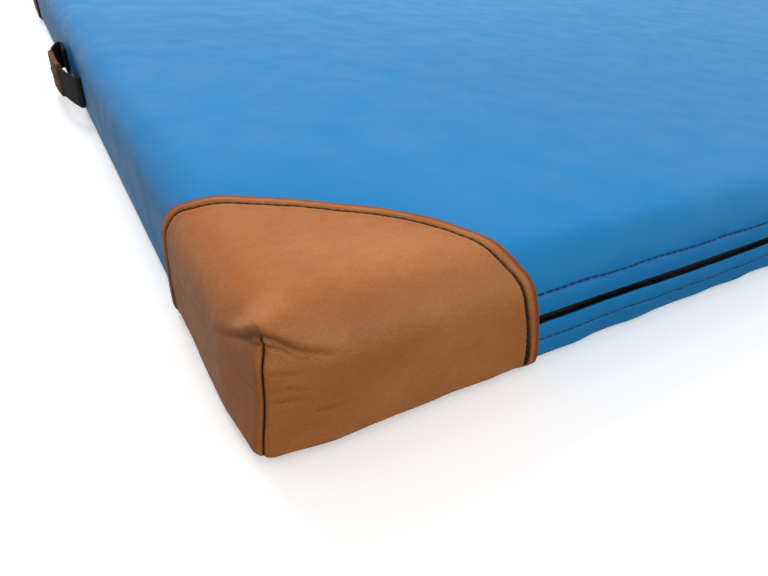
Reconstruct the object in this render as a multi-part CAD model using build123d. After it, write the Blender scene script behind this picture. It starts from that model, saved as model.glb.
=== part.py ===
from build123d import *
import os
from math import sqrt

# Padded gym mat: a foam slab in a zipped vinyl cover with leather corners and two carry handles.
# Millimetres. The origin is the centre of the underside, +X runs along the long sides and +Z is up.
# The zip is in the front side (-Y). The handles are in the middle of the two short sides.

# Mat
LENGTH = 2000.0          # along X, over the vinyl
WIDTH = 1150.0           # along Y, over the vinyl
HEIGHT = 80.0            # over the vinyl
EDGE_RADIUS = 14.0       # top and bottom edges
CORNER_RADIUS = 16.0     # upright corners
VINYL = 1.0              # cover sheet
BASE = 2.0               # anti-slip base sheet
GAP = 0.2                # between layers
BASE_MARGIN = 35.0       # from the sides to the edge of the base sheet

# Leather corners
LEATHER = 2.0
LIP_REACH = 170.0        # from the corner to the leather's raw edge, along a side
LIP_TOP_REACH = 128.0    # the same across the top face
LIP_LEVEL = 16.0         # height at which the leather reaches furthest
LIP_WIDTH = 8.0          # from the raw edge in to the stitching
LIP_RISE = 1.0           # how far the lip stands above the leather
LEDGE = 0.3              # between the lip and the stitched groove
GROOVE_WIDTH = 1.2
GROOVE_DEPTH = 0.8
LIP_START = 4.0          # height at which the lip and the groove start, clear of the underside
SEAM_MARGIN = 10.0       # from the top and the underside to the seam up the corner
SEAM_REACH = 60.0
THREAD = 0.4             # how thick a line of stitching is
THREAD_WIDTH = 0.8
THREAD_CLEAR = 0.05      # under a line of stitching

# Zip
ZIP_LEVEL = 38.0         # middle of the slot
SLOT = 6.5               # between the two folded hems
ZIP_CUT = 850.0          # half the length of the opening in the cover
TAPE_HALF = 845.0        # half the length of the tapes
COIL_HALF = 820.0        # half the length of the coils
HEM = 17.0               # folded-back edge of the vinyl
STITCH_LINE = 14.0       # from the hem's fold to its stitching
TAPE = 0.8
COIL_DEPTH = 3.0
TAPE_EDGE = 2.2          # from the zip's middle to the tape's inner edge
COIL_TIP = 0.7           # from the zip's middle to the tips of a coil
CHAIN_DEPTH = 5.9        # from the cover's face to the middle of the coils
CHANNEL_DEPTH = 11.0     # room that the foam gives up behind the zip
CHANNEL_HALF = 24.0

# Slider and pull tab
SLIDER_X = 800.0         # where it rests, with the zip closed
SLIDER_LENGTH = 18.0
SLIDER_HALF = 4.6        # half its width across the coils
PLATE = 1.2
PLATE_GAP = 0.3          # between a plate and the coils
FLANGE = 1.1
WEDGE_WIDTH = 1.0
BRIDGE_HALF = 4.5        # half the length of the bridge that carries the tab
BRIDGE_WIDTH = 2.2
BRIDGE_RISE = 2.9        # from the front plate to the top of the bridge
BRIDGE_POST = 1.3
PIVOT_DEPTH = 1.75       # from the cover's face to the tab's pivot
PIVOT_RADIUS = 0.6
TAB_WIDTH = 5.0
TAB = 1.2
TAB_LENGTH = 27.0
TAB_RAIL = 1.0           # each side of the window in the tab
WINDOW_LENGTH = 7.0

# Handles
STRAP_WIDTH = 30.0       # height of the webbing
STRAP = 2.5
LOOP_HALF = 80.0         # from the middle to the fold at each end
LOOP_REACH = 18.0        # how far the loop stands off the side
LOOP_FLAT_HALF = 40.0    # half of the stretch parallel to the side
LOOP_BEND = 25.0
FOLD_BEND = 1.4
END_START = 44.0         # the sewn end lies under the loop, from here to END_STOP
END_STOP = 76.0
GRIP_HALF = 32.0
GRIP_LEATHER = 2.0
GRIP_GAP = 0.15
HANDLE_LEVEL = 30.0

FRONT = -WIDTH / 2
SLOT_TOP = ZIP_LEVEL + SLOT / 2
SLOT_FOOT = ZIP_LEVEL - SLOT / 2


def span(x, y, z):
    """A box from its (low, high) along each axis."""
    size = [high - low for low, high in (x, y, z)]
    middle = [(high + low) / 2 for low, high in (x, y, z)]
    return Pos(*middle) * Box(*size)


def mat_block(grow=0.0, floor=0.0):
    """The mat's form, grown outwards by grow on its top and sides and standing on z = floor."""
    x, y, top = LENGTH / 2 + grow, WIDTH / 2 + grow, HEIGHT + grow
    block = span((-x, x), (-y, y), (floor, top))
    block = fillet(block.edges().filter_by(Axis.Z), CORNER_RADIUS + grow)
    faces = block.faces().sort_by(Axis.Z)
    return fillet(faces[0].edges() + faces[-1].edges(), EDGE_RADIUS + grow)


def lip_form(inset=0.0):
    """A flattened ball at the front left corner. Its surface cuts the outline of the leather."""
    wide = LIP_REACH - inset
    top = LIP_TOP_REACH - inset
    tall = (HEIGHT - LIP_LEVEL) / sqrt(1 - (top / wide) ** 2)
    arc = EllipticalCenterArc((0, 0), wide, tall, -90, arc_size=180)
    half = make_face([arc, Line(arc @ 1, arc @ 0)])
    return Pos(-LENGTH / 2, -WIDTH / 2, LIP_LEVEL) * revolve(Plane.XZ * half, Axis.Z)


def to_corners(shapes):
    """Shapes at the front left corner, and their mirror images at the other three."""
    right = [mirror(shape, about=Plane.YZ) for shape in shapes]
    return {
        "front_left": shapes,
        "front_right": right,
        "back_left": [mirror(shape, about=Plane.XZ) for shape in shapes],
        "back_right": [mirror(shape, about=Plane.XZ) for shape in right],
    }


def corner_block(grow, floor=0.0):
    """The front left corner of the grown mat, with room for the whole leather corner."""
    reach = LIP_REACH + 50
    x, y = -LENGTH / 2, -WIDTH / 2
    return mat_block(grow, floor) & span((2 * x, x + reach), (2 * y, y + reach), (-1, 2 * HEIGHT))


def groove_ring(clear=0.0):
    """The space inside the lip where the stitching runs, narrower by clear on each side."""
    outside = LIP_WIDTH + LEDGE + clear
    inside = LIP_WIDTH + LEDGE + GROOVE_WIDTH - clear
    return lip_form(outside), lip_form(inside)


def outer_skin(outer, inner):
    """The layer between two grown forms of the mat, from the height where the lip starts."""
    above = span((-LENGTH, 0), (-WIDTH, 0), (LIP_START, 2 * HEIGHT))
    return (corner_block(outer) - corner_block(inner)) & above


def seam_slab(width):
    """An upright slab in the corner's diagonal plane, for the seam that closes the leather."""
    slab = Rot(0, 0, 45) * Box(SEAM_REACH, width, HEIGHT - 2 * SEAM_MARGIN)
    return Pos(-LENGTH / 2, -WIDTH / 2, HEIGHT / 2) * slab


def corner_leather():
    """One leather corner: a shell over the top, both sides and the underside, with a raised lip."""
    face = GAP + LEATHER
    foot = span((-LENGTH, 0), (-WIDTH, 0), (-1, LIP_START)) - corner_block(face)
    raised = corner_block(face + LIP_RISE) - foot
    shell = (raised - corner_block(GAP, LEATHER)) & lip_form()
    shell = shell - (outer_skin(face + LIP_RISE, face) & lip_form(LIP_WIDTH))
    skin = outer_skin(face + LIP_RISE, face - GROOVE_DEPTH)
    outside, inside = groove_ring()
    return shell - ((skin & outside) - inside) - (skin & seam_slab(GROOVE_WIDTH))


def corner_thread():
    """The stitching in the leather's groove and in its seam."""
    sunk = GAP + LEATHER - GROOVE_DEPTH + THREAD_CLEAR
    skin = outer_skin(sunk + THREAD, sunk)
    outside, inside = groove_ring((GROOVE_WIDTH - THREAD_WIDTH) / 2)
    return [(skin & outside) - inside, skin & seam_slab(THREAD_WIDTH)]


def foot_pockets():
    """Where the leather wraps under the mat, the vinyl and the base sheet are cut away."""
    low = span((-LENGTH, LENGTH), (-WIDTH, WIDTH), (-1, EDGE_RADIUS))
    return [pocket for corner in to_corners([lip_form(-GAP) & low]).values() for pocket in corner]


def base_window(grow=0.0, top=BASE):
    """The space of the base sheet."""
    x, y = LENGTH / 2 - BASE_MARGIN + grow, WIDTH / 2 - BASE_MARGIN + grow
    return span((-x, x), (-y, y), (-1, top))


def front_strip_space(half, top):
    """The lower part of the front side, up to z = top."""
    return span((-half, half), (FRONT - 1, FRONT + BASE_MARGIN), (-1, top))


def hem(low):
    """The folded-back edge of the vinyl, inside the front side, from z = low upwards."""
    return span((-ZIP_CUT + GAP, ZIP_CUT - GAP), (FRONT + VINYL, FRONT + 2 * VINYL), (low, low + HEM))


def cover_parts():
    """The vinyl: one piece for the top and the plain sides, and a strip below the zip."""
    shell = mat_block() - mat_block(-VINYL, VINYL)
    shell = shell - base_window(GAP)
    top = shell - front_strip_space(ZIP_CUT, SLOT_TOP) + hem(SLOT_TOP)
    strip = shell & front_strip_space(ZIP_CUT - GAP, SLOT_FOOT)
    strip = strip + hem(SLOT_FOOT - HEM)
    for pocket in foot_pockets():
        top = top - pocket
        strip = strip - pocket
    return {"cover_top": top, "cover_front_strip": strip}


def base_seam(grow=0.0, top=THREAD):
    """The stitching that joins the base sheet to the sides, just inside the sheet's edge."""
    inset = 8.0
    outer = base_window(-inset + THREAD_WIDTH / 2 + grow, top)
    return outer - base_window(-inset - THREAD_WIDTH / 2 - grow, 2 * top)


def base_parts():
    """The anti-slip base sheet and its stitching, which lies in a groove."""
    above_floor = span((-LENGTH, LENGTH), (-WIDTH, WIDTH), (0, HEIGHT))
    sheet = (base_window() & above_floor) - base_seam(GAP, THREAD + 0.1)
    thread = base_seam() & above_floor
    for pocket in foot_pockets():
        sheet = sheet - pocket
        thread = thread - pocket
    return {"base_sheet": sheet, "base_thread": thread}


def foam_core():
    """The foam slab, pressed in behind the zip."""
    core = mat_block(-VINYL - GAP, BASE + GAP)
    return core - span(
        (-ZIP_CUT, ZIP_CUT),
        (FRONT, FRONT + CHANNEL_DEPTH),
        (ZIP_LEVEL - CHANNEL_HALF, ZIP_LEVEL + CHANNEL_HALF),
    )


def zip_tape():
    """The upper tape: flat behind the hem where it is sewn, and sunk behind the slot."""
    sewn = 2 * VINYL + 0.1
    sunk = CHAIN_DEPTH - TAPE / 2
    front = [(sewn, SLOT / 2 + HEM), (sewn, 12), (sunk, 8), (sunk, TAPE_EDGE)]
    back = [(depth + TAPE, level) for depth, level in reversed(front)]
    profile = make_face(Polyline(*front, *back, close=True))
    tape = extrude(Plane.YZ * profile, TAPE_HALF, both=True)
    return Pos(0, FRONT, ZIP_LEVEL) * tape


def zip_coil():
    """The upper coil, as a smooth strip along the tape's inner edge."""
    coil = span(
        (-COIL_HALF, COIL_HALF),
        (-COIL_DEPTH / 2, COIL_DEPTH / 2),
        (COIL_TIP, TAPE_EDGE - 0.05),
    )
    coil = fillet(coil.edges().filter_by(Axis.X), 0.4)
    return Pos(0, FRONT + CHAIN_DEPTH, ZIP_LEVEL) * coil


def below_zip(shape):
    """The mirror image of a shape across the middle of the zip."""
    return mirror(shape, about=Plane.XY.offset(ZIP_LEVEL))


def zip_stop(x):
    """A moulded stop across the ends of the coils."""
    half, depth = 1.8, COIL_DEPTH / 2
    y = FRONT + CHAIN_DEPTH
    low, high = ZIP_LEVEL - TAPE_EDGE + 0.05, ZIP_LEVEL + TAPE_EDGE - 0.05
    stop = span((x - half, x + half), (y - depth, y + depth), (low, high))
    return fillet(stop.edges().filter_by(Axis.Y), 0.8)


def zip_line(level):
    """A line of stitching along a hem, on the outside of the cover, from leather to leather."""
    line = span(
        (-LENGTH / 2, LENGTH / 2),
        (FRONT - THREAD, FRONT - THREAD_CLEAR),
        (level - THREAD_WIDTH / 2, level + THREAD_WIDTH / 2),
    )
    leather = lip_form(-GAP)
    return line - leather - mirror(leather, about=Plane.YZ)


def zip_parts():
    """Tapes, coils, stops and the two lines of stitching."""
    tape, coil = zip_tape(), zip_coil()
    stop_x = COIL_HALF + 3.0
    return {
        "zip_tape_upper": tape,
        "zip_tape_lower": below_zip(tape),
        "zip_coil_upper": coil,
        "zip_coil_lower": below_zip(coil),
        "zip_open_end_stop": zip_stop(-stop_x),
        "zip_closed_end_stop": zip_stop(stop_x),
        "zip_thread_upper": zip_line(SLOT_TOP + STITCH_LINE),
        "zip_thread_lower": zip_line(SLOT_FOOT - STITCH_LINE),
    }


def slider():
    """The slider: two plates round the coils, a wedge between them and a bridge for the tab."""
    half = SLIDER_LENGTH / 2
    depth = COIL_DEPTH / 2 + PLATE_GAP
    plate = span((-half, half), (depth, depth + PLATE), (-SLIDER_HALF, SLIDER_HALF))
    plate = fillet(plate.edges().filter_by(Axis.Y), 2.0)
    for side in (-1, 1):
        edge = span((-half + 2, half - 2), (depth - FLANGE, depth), (SLIDER_HALF - 1, SLIDER_HALF))
        plate = plate + (edge if side > 0 else mirror(edge, about=Plane.XY))
    wedge = span((-half + 1, -half + 6), (-depth - 0.1, depth + 0.1), (-WEDGE_WIDTH / 2, WEDGE_WIDTH / 2))
    bridge_low = -depth - PLATE - BRIDGE_RISE
    bridge_z = (-BRIDGE_WIDTH / 2, BRIDGE_WIDTH / 2)
    bridge = span((-BRIDGE_HALF, BRIDGE_HALF), (bridge_low, -depth - PLATE + 0.1), bridge_z)
    bridge = fillet(bridge.edges().filter_by(Axis.Z).sort_by(Axis.Y)[:2], 1.2)
    opening_x = BRIDGE_HALF - BRIDGE_POST
    bridge = bridge - span((-opening_x, opening_x), (bridge_low + 1.0, -depth - PLATE), bridge_z)
    body = plate + mirror(plate, about=Plane.XZ) + wedge + bridge
    return Pos(SLIDER_X, FRONT + CHAIN_DEPTH, ZIP_LEVEL) * body


def pull_tab():
    """The tab: a cross bar under the slider's bridge, two rails past the bridge, and a flat grip."""
    half = TAB_WIDTH / 2
    blade = span((-TAB_LENGTH, PIVOT_RADIUS), (-TAB / 2, TAB / 2), (-half, half))
    blade = fillet(blade.edges().filter_by(Axis.Y).sort_by(Axis.X)[:2], 2.2)
    window = span((-WINDOW_LENGTH, PIVOT_RADIUS), (-TAB, TAB), (-half + TAB_RAIL, half - TAB_RAIL))
    eye = Pos(-TAB_LENGTH + 4, 0, 0) * Rot(90, 0, 0) * Cylinder(1.2, 2 * TAB)
    bar = Cylinder(PIVOT_RADIUS, TAB_WIDTH)
    return Pos(SLIDER_X, FRONT + PIVOT_DEPTH, ZIP_LEVEL) * (blade - window - eye + bar)


def strap_line():
    """The loop seen from above, with x away from the side: a fold at each end and a flat middle."""
    flat = STRAP / 2 + 0.1
    half = [
        (flat, -END_STOP - GAP),
        (flat, -LOOP_HALF),
        (flat + STRAP + 1.4, -LOOP_HALF),
        (LOOP_REACH, -LOOP_FLAT_HALF),
    ]
    other = [(x, -y) for x, y in reversed(half)]
    bends = [FOLD_BEND, FOLD_BEND, LOOP_BEND]
    return FilletPolyline(*half, *other, radius=bends + bends[::-1])


def grip_band(thickness, height):
    """A band of that thickness along the loop's flat middle."""
    low, high = LOOP_REACH - thickness / 2, LOOP_REACH + thickness / 2
    return span((low, high), (-GRIP_HALF, GRIP_HALF), (-height / 2, height / 2))


def sewn_end():
    """The end of the strap that is sewn to the side, at +Y."""
    return span((0.1, 0.1 + STRAP), (END_START, END_STOP), (-STRAP_WIDTH / 2, STRAP_WIDTH / 2))


def box_stitch():
    """The square of stitching with a cross in it that holds a sewn end."""
    length, height = END_STOP - END_START - 10, STRAP_WIDTH - 10
    middle = (END_START + END_STOP) / 2
    border = 2 * THREAD_WIDTH
    square = Box(THREAD, length, height) - Box(2 * THREAD, length - border, height - border)
    diagonal = Box(THREAD, sqrt(length**2 + height**2) - 2, THREAD_WIDTH)
    slope = Vector(0, length, height).get_angle(Vector(0, 1, 0))
    cross = Rot(slope, 0, 0) * diagonal + Rot(-slope, 0, 0) * diagonal
    return Pos(0.1 + STRAP + THREAD_CLEAR + THREAD / 2, middle, 0) * (square + cross)


def handle_parts(side):
    """One handle: its loop, leather grip, two sewn ends and their stitching."""
    loop = extrude(trace(strap_line(), STRAP), STRAP_WIDTH / 2, both=True)
    room = STRAP + 2 * GRIP_GAP
    sleeve = grip_band(room + 2 * GRIP_LEATHER, STRAP_WIDTH + 2 * GRIP_GAP + 2 * GRIP_LEATHER)
    sleeve = fillet(sleeve.edges().filter_by(Axis.Y), GRIP_LEATHER)
    sleeve = sleeve - grip_band(room, STRAP_WIDTH + 2 * GRIP_GAP)
    seam_x = LOOP_REACH - room / 2 - GRIP_LEATHER
    seam = span(
        (seam_x - THREAD, seam_x - THREAD_CLEAR),
        (-GRIP_HALF + 3, GRIP_HALF - 3),
        (-THREAD_WIDTH / 2, THREAD_WIDTH / 2),
    )
    end = sewn_end()
    stitch = box_stitch()
    parts = {
        "strap": loop,
        "grip": sleeve,
        "grip_thread": seam,
        "end_back": end,
        "end_front": mirror(end, about=Plane.XZ),
        "end_thread": [stitch, mirror(stitch, about=Plane.XZ)],
    }
    name = "right" if side > 0 else "left"
    placed = {}
    for key, shape in parts.items():
        solids = shape if isinstance(shape, list) else [shape]
        moved = [Pos(LENGTH / 2, 0, HANDLE_LEVEL) * solid for solid in solids]
        if side < 0:
            moved = [mirror(solid, about=Plane.YZ) for solid in moved]
        placed[f"handle_{name}_{key}"] = moved
    return placed


def all_parts():
    """Every node and its solids."""
    parts = {"foam_core": foam_core(), "zip_slider": slider(), "zip_pull": pull_tab()}
    parts |= cover_parts() | base_parts() | zip_parts()
    parts |= {f"leather_corner_{n}": s for n, s in to_corners([corner_leather()]).items()}
    parts |= {f"corner_thread_{n}": s for n, s in to_corners(corner_thread()).items()}
    parts |= handle_parts(-1) | handle_parts(1)
    return parts


def write(name, shape):
    """Writes a node as one STEP file of separate solids."""
    shapes = shape if isinstance(shape, list) else [shape]
    solids = [solid for each in shapes for solid in each.solids()]
    node = solids[0] if len(solids) == 1 else Compound(children=solids)
    export_step(node, f"parts/{name}.step")


os.makedirs("parts", exist_ok=True)
for node_name, node_shape in all_parts().items():
    write(node_name, node_shape)
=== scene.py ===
import math

import bmesh
import bpy
import numpy as np
from mathutils import Matrix, Vector


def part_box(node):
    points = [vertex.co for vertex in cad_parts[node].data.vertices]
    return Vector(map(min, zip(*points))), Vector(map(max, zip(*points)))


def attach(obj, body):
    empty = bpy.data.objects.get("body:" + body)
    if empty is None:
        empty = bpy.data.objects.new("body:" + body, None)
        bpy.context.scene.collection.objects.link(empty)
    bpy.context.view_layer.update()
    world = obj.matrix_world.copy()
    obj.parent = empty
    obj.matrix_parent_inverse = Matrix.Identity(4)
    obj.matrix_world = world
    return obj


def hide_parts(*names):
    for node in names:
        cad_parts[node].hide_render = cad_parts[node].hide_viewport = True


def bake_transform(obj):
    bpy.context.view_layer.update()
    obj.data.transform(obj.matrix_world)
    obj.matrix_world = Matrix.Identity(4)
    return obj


# Padded gym mat with a zipped vinyl cover, leather corners and two carry handles. Lengths are in
# millimetres, in the frame of the CAD part, and are scaled to metres as a mesh is made.
# The hero corner is the front left one.

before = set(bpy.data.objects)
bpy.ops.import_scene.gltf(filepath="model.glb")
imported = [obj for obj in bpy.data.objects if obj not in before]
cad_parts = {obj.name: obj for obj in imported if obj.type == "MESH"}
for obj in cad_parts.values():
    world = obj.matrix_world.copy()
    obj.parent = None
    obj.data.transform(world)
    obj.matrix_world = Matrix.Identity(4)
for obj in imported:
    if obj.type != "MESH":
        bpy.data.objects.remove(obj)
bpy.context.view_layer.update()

MM = 0.001


def cad_box(node):
    """A CAD node's lowest and highest corners, in millimetres."""
    low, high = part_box(node)
    return np.array(low) / MM, np.array(high) / MM


# Sizes that come from the frame
_, COVER_TOP = cad_box("cover_top")
HALF_LENGTH, HALF_WIDTH, HEIGHT = COVER_TOP
LEATHER_HIGH = cad_box("leather_corner_front_left")[1]
LIP_REACH = LEATHER_HIGH[0] + HALF_LENGTH          # from the corner to the raw edge, low on a side
ZIP_LEVEL = float(np.mean([cad_box("zip_coil_upper")[0][2], cad_box("zip_coil_lower")[1][2]]))
STITCH_UPPER = float(np.mean([corner[2] for corner in cad_box("zip_thread_upper")]))
STITCH_LOWER = float(np.mean([corner[2] for corner in cad_box("zip_thread_lower")]))
STRIP_TOP = cad_box("cover_front_strip")[1][2]
SLOT_TOP = 2 * ZIP_LEVEL - STRIP_TOP
UNDER_REACH = HALF_LENGTH - cad_box("base_sheet")[1][0]      # vinyl turned under the mat
HANDLE_HALF = cad_box("handle_left_strap")[1][1]

# Form of the padded slab
TOP_RADIUS = 24.0        # soft roll from the top to a side
FOOT_RADIUS = 8.0        # tighter roll from a side to the underside
PEAK_RADIUS = 4.0        # where top and sides meet at the corner
TIP_RADIUS = 8.0         # the corner's foot
CORNER_INSET = 6.0       # the corner seam is drawn in by this
CORNER_SPAN = 26.0       # the rolls are full this far from the corner
BOW = 3.0                # the sides bulge by this between top and underside
OFF_FLOOR = 0.05         # the leather and the strip lie at least this high

# Hems and stitching beside the zip
STITCH_PITCH = 6.0
CHANNEL_DEPTH = 1.2      # the stitching sinks this far into the vinyl
PILLOW_HEIGHT = 0.9      # the hem between stitching and fold stands out by this
HEM_TURNED_IN = 12.0     # the vinyl runs this far along a hem's back
SHADE_SHEET_THICKNESS = 0.6    # a dark sheet behind the zip, standing in for the shade inside the mat

# Stitches: pitch, length, radius and how far each one is turned out of line
CORNER_STITCH = (5.2, 4.2, 0.6, 0.25)
ZIP_STITCH = (STITCH_PITCH, 4.6, 0.5, 0.35)
GRIP_STITCH = (4.2, 3.3, 0.35, 0.1)

# Leather corners
LEATHER = 2.0            # thickness
LEATHER_OUT = LEATHER + 0.9      # from the vinyl's plain form to the leather's outer face
GROOVE_AT = 8.6                  # from the raw edge to the stitched groove
GROOVE_DEPTH = 0.7
LIP_HEIGHT = 1.1
SEAM_DEPTH = 1.5                 # the corner seam
UNDER_LIFT = LEATHER_OUT + LIP_HEIGHT + 0.15     # under the mat the lip is lowest, just off the floor


# ---------------------------------------------------------------- numbers and meshes

def smooth(t):
    """Rises smoothly from zero to one as t does."""
    t = np.clip(t, 0.0, 1.0)
    return t * t * (3 - 2 * t)


def bell(distance, width):
    """One at no distance, and fading over about that width."""
    return np.exp(-((distance / width) ** 2))


def trough(distance, half, soft):
    """One within half of the middle, and nothing beyond half and soft together."""
    return smooth((half + soft - np.abs(distance)) / soft)


def waves(points, length, seed, count=5):
    """Smooth noise about zero, from plane waves of about that length in random directions."""
    rng = np.random.default_rng(seed)
    total = np.zeros(points.shape[:-1])
    for _ in range(count):
        direction = rng.normal(size=points.shape[-1])
        direction /= np.linalg.norm(direction)
        scale = length * rng.uniform(0.7, 1.4)
        total += np.sin(points @ direction * (2 * math.pi / scale) + rng.uniform(0, 2 * math.pi))
    return total / count


def on_line(x):
    """Places along one line, in the form that waves takes."""
    return np.stack([x, 0 * x], -1)


def new_mesh(name, points, faces, marks=None):
    """A mesh object from points in millimetres. marks holds values per point, read by the materials."""
    mesh = bpy.data.meshes.new(name)
    mesh.from_pydata((np.asarray(points) * MM).tolist(), [], [list(map(int, f)) for f in faces])
    for key, values in (marks or {}).items():
        attribute = mesh.attributes.new(key, "FLOAT", "POINT")
        attribute.data.foreach_set("value", np.asarray(values, np.float32).ravel())
    mesh.validate()
    mesh.polygons.foreach_set("use_smooth", [True] * len(mesh.polygons))
    obj = bpy.data.objects.new(name, mesh)
    bpy.context.scene.collection.objects.link(obj)
    return obj


def grid_faces(rows, columns, wrap=False, flip=False, start=0):
    """Quads over a rows by columns grid of points, closed on itself along the columns if wrap."""
    i = np.arange(rows - 1)[:, None]
    j = np.arange(columns if wrap else columns - 1)[None, :]
    k = (j + 1) % columns
    quads = [i * columns + j, i * columns + k, (i + 1) * columns + k, (i + 1) * columns + j]
    quads = np.stack([q + 0 * (i + j) for q in quads], -1).reshape(-1, 4) + start
    return quads[:, ::-1] if flip else quads


def weld(obj, distance=0.02):
    """Joins points that lie together."""
    work = bmesh.new()
    work.from_mesh(obj.data)
    bmesh.ops.remove_doubles(work, verts=work.verts, dist=distance * MM)
    bmesh.ops.dissolve_degenerate(work, edges=work.edges, dist=1e-7)
    work.to_mesh(obj.data)
    work.free()


def thicken(obj, thickness):
    """Gives a sheet its thickness, behind the face that shows."""
    modifier = obj.modifiers.new("Solidify", "SOLIDIFY")
    modifier.thickness = thickness * MM
    modifier.offset = -1
    modifier.use_rim = True


# ---------------------------------------------------------------- the slab's skin

def skin(a, b, c):
    """The padded slab's skin. a and b are how far a point of the plain block lies in from the nearest
    short and long side, and c is its height. The point and its outward normal are in those measures."""
    a, b, c = np.broadcast_arrays(*(np.asarray(v, float) for v in (a, b, c)))
    upper = smooth(c / HEIGHT)
    foot = TIP_RADIUS + (FOOT_RADIUS - TIP_RADIUS) * smooth(np.maximum(a, b) / CORNER_SPAN)
    edge = foot + (TOP_RADIUS - foot) * upper
    sharp = TIP_RADIUS + (PEAK_RADIUS - TIP_RADIUS) * smooth(c / 26)
    rx = sharp + (edge - sharp) * smooth(b / CORNER_SPAN)
    ry = sharp + (edge - sharp) * smooth(a / CORNER_SPAN)
    top = PEAK_RADIUS + (TOP_RADIUS - PEAK_RADIUS) * smooth(np.maximum(a, b) / CORNER_SPAN)
    qa, qb = np.maximum(a, rx), np.maximum(b, ry)
    qc = np.clip(c, foot, HEIGHT - top)
    rz = np.where(c > qc, top, foot)
    da, db, dc = (a - qa) / rx, (b - qb) / ry, (c - qc) / rz
    size = np.maximum(np.sqrt(da**2 + db**2 + dc**2), 1e-6)
    out = np.stack([da, db, dc], -1) / size[..., None]
    pull = np.minimum(1 / size, 1.0)
    a2, b2, c2 = qa + da * pull * rx, qb + db * pull * ry, qc + dc * pull * rz
    arch = 1 - np.sin(math.pi * np.clip(c2 / HEIGHT, 0, 1)) ** 0.6

    def drawn_in(along):
        return CORNER_INSET * (1 - smooth(along / 42)) + BOW * arch * smooth(along / 60)

    a3 = a2 + drawn_in(b2) * smooth(1 - a2 / 90) * (0.45 + 0.55 * smooth(c / 45))
    b3 = b2 + drawn_in(a2) * smooth(1 - b2 / 90)
    return np.stack([a3, b3, c2], -1), out


def to_row(measures, sign_x, sign_y):
    """Points in the row frame from measures off the sides. The signs choose the corner."""
    x = sign_x * (HALF_LENGTH - measures[..., 0])
    y = sign_y * (HALF_WIDTH - measures[..., 1])
    return np.stack([x, y, measures[..., 2]], -1)


def turn_out(out, sign_x, sign_y):
    """An outward direction in the row frame from one in the measures."""
    return np.stack([-sign_x * out[..., 0], -sign_y * out[..., 1], out[..., 2]], -1)


def swell(points):
    """How far the padded surface stands off its plain form: slow undulations everywhere, soft upright
    folds where the vinyl rolls over the long sides, and a hollow behind each raised handle."""
    x, y, z = points[..., 0], points[..., 1], points[..., 2]
    from_short, from_long = HALF_LENGTH - np.abs(x), HALF_WIDTH - np.abs(y)
    short_side = bell(np.maximum(from_short, 0), 40)
    long_side = bell(np.maximum(from_long, 0), 55)
    clear_of_corner = smooth((np.hypot(from_short, from_long) - 40) / 200)
    clear_of_handle = 1 - short_side * bell(y, 2.2 * HANDLE_HALF)
    near_edge = bell(np.minimum(from_short, from_long), 90)
    broad = waves(points, 240, 3) + 0.4 * waves(points, 70, 4) * near_edge
    line = on_line(x + 500 * (y > 0))
    fine = waves(line, 19, 11, 6) * smooth(waves(line, 160, 12) * 1.5 + 0.5)
    folds = 0.8 * fine + 3.6 * waves(line, 62, 13, 6)
    on_roll = bell(z - (HEIGHT - 12), 13) * long_side * smooth((from_short - 150) / 60)
    dent = 2.6 * bell(y, 0.45 * HANDLE_HALF) * bell(z - 46, 16) * short_side
    return smooth(z / 25) * clear_of_corner * clear_of_handle * broad - dent + on_roll * folds


# ---------------------------------------------------------------- blue cover

def axis_lines(half, zone):
    """Grid lines along one axis: close together at the rolls, fine within zone of each side and coarse
    between."""
    roll = [0, 1.5, 3.2, 5.2, 7.5, 10.2, 13.4, 17.2, 21.5, 26.5]
    edge = np.concatenate([roll, np.linspace(roll[-1], zone, int((zone - roll[-1]) / 4.6))[1:]])
    middle = np.linspace(zone, 2 * half - zone, max(3, int((2 * half - 2 * zone) / 12)))[1:-1]
    return np.concatenate([edge, middle, 2 * half - edge[::-1]]) - half


def skin_at(x, y, c):
    """The skin under points of the plain block, and its normal, in the row frame."""
    x, y, c = np.broadcast_arrays(x, y, c)
    signs = np.where(x < 0, -1, 1), np.where(y < 0, -1, 1)
    measures, out = skin(HALF_LENGTH - np.abs(x), HALF_WIDTH - np.abs(y), c)
    return to_row(measures, *signs), turn_out(out, *signs)


def swollen(x, y, c, relief=0.0):
    """The finished vinyl surface over points of the plain block. It is drawn in a little under the
    leather."""
    points, out = skin_at(x, y, c)
    from_corner = np.hypot(HALF_LENGTH - np.abs(x), HALF_WIDTH - np.abs(y))
    tuck = 1.0 * smooth((0.62 * LIP_REACH - from_corner) / 15) + 4.5 * bell(from_corner, 16)
    return points + out * (swell(points) + relief - tuck)[..., None]


def hem_relief(level, fold, stitch):
    """The stitched channel and the pillowed hem between it and the fold."""
    channel = -CHANNEL_DEPTH * bell(level - stitch, 1.2)
    pillow = PILLOW_HEIGHT * bell(level - (fold + stitch) / 2, abs(stitch - fold) / 2.3)
    return channel + pillow


def puckers(x, stitch_seed):
    """Small gathers along a line of stitching."""
    return waves(on_line(x), 2.1 * STITCH_PITCH, stitch_seed, 4)


def upper_front(x, level):
    """The zip side above the slot."""
    relief = hem_relief(level, SLOT_TOP, STITCH_UPPER)
    relief = relief + 0.5 * puckers(x, 14) * bell(level - STITCH_UPPER - 3, 6)
    return swollen(x, -HALF_WIDTH, level, relief)


def slot_edge(x):
    """How far the lower hem wanders up and down along the zip."""
    line = on_line(x)
    return 2.0 * waves(line, 95, 21) + 0.8 * waves(line, 38, 22)


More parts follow.
